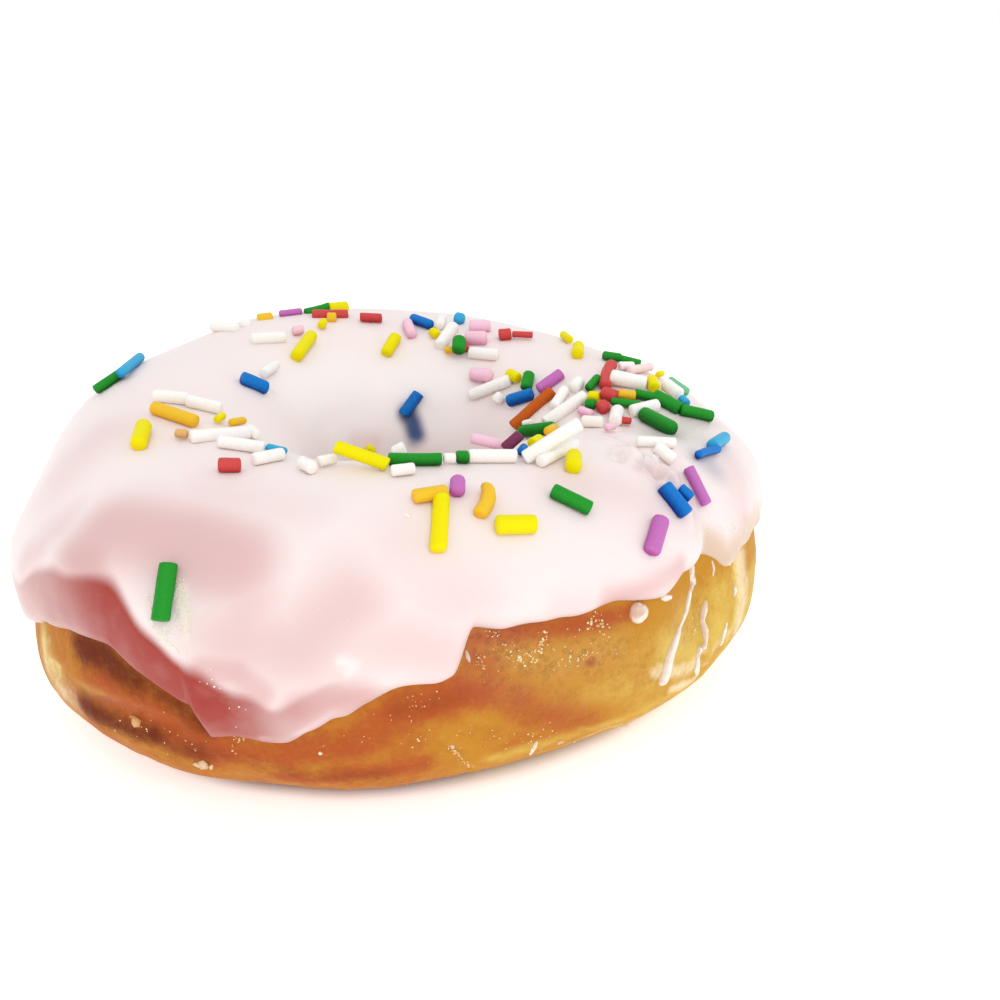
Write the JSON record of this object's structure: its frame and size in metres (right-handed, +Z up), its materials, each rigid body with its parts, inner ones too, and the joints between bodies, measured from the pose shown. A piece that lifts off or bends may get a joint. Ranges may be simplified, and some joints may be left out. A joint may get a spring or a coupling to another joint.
{
  "type": "sprinkle frosted doughnut",
  "caption": "Raised ring doughnut with poured pale pink icing that hangs in tongues, topped with rod sprinkles; it lies flat on its base.",
  "frame": {"origin": "middle of the outline on the flat base that the doughnut lies on", "axes": "+Z up through the hole; -Y is the side where the icing hangs lowest, +X the side with the pinched crease"},
  "size_m": [0.0911, 0.0892, 0.0361],
  "materials": {
    "fried_dough": "fried yeast dough: golden to amber, paler at the right and round the base, slightly greasy with sugar glaze grains",
    "pink_icing": "set poured icing: pale pink, satin, deeper pink where it is thin or in shade",
    "sprinkles": "rod sprinkles of pressed sugar in white, yellow, green, blue, purple, pink, red and orange, satin",
    "sugar_glaze": "dried thin glaze: whitish runs, droplets, flakes and grains"
  },
  "bodies": {
    "root": {"dough": "fried_dough", "icing": "pink_icing"}
  },
  "joints": []
}
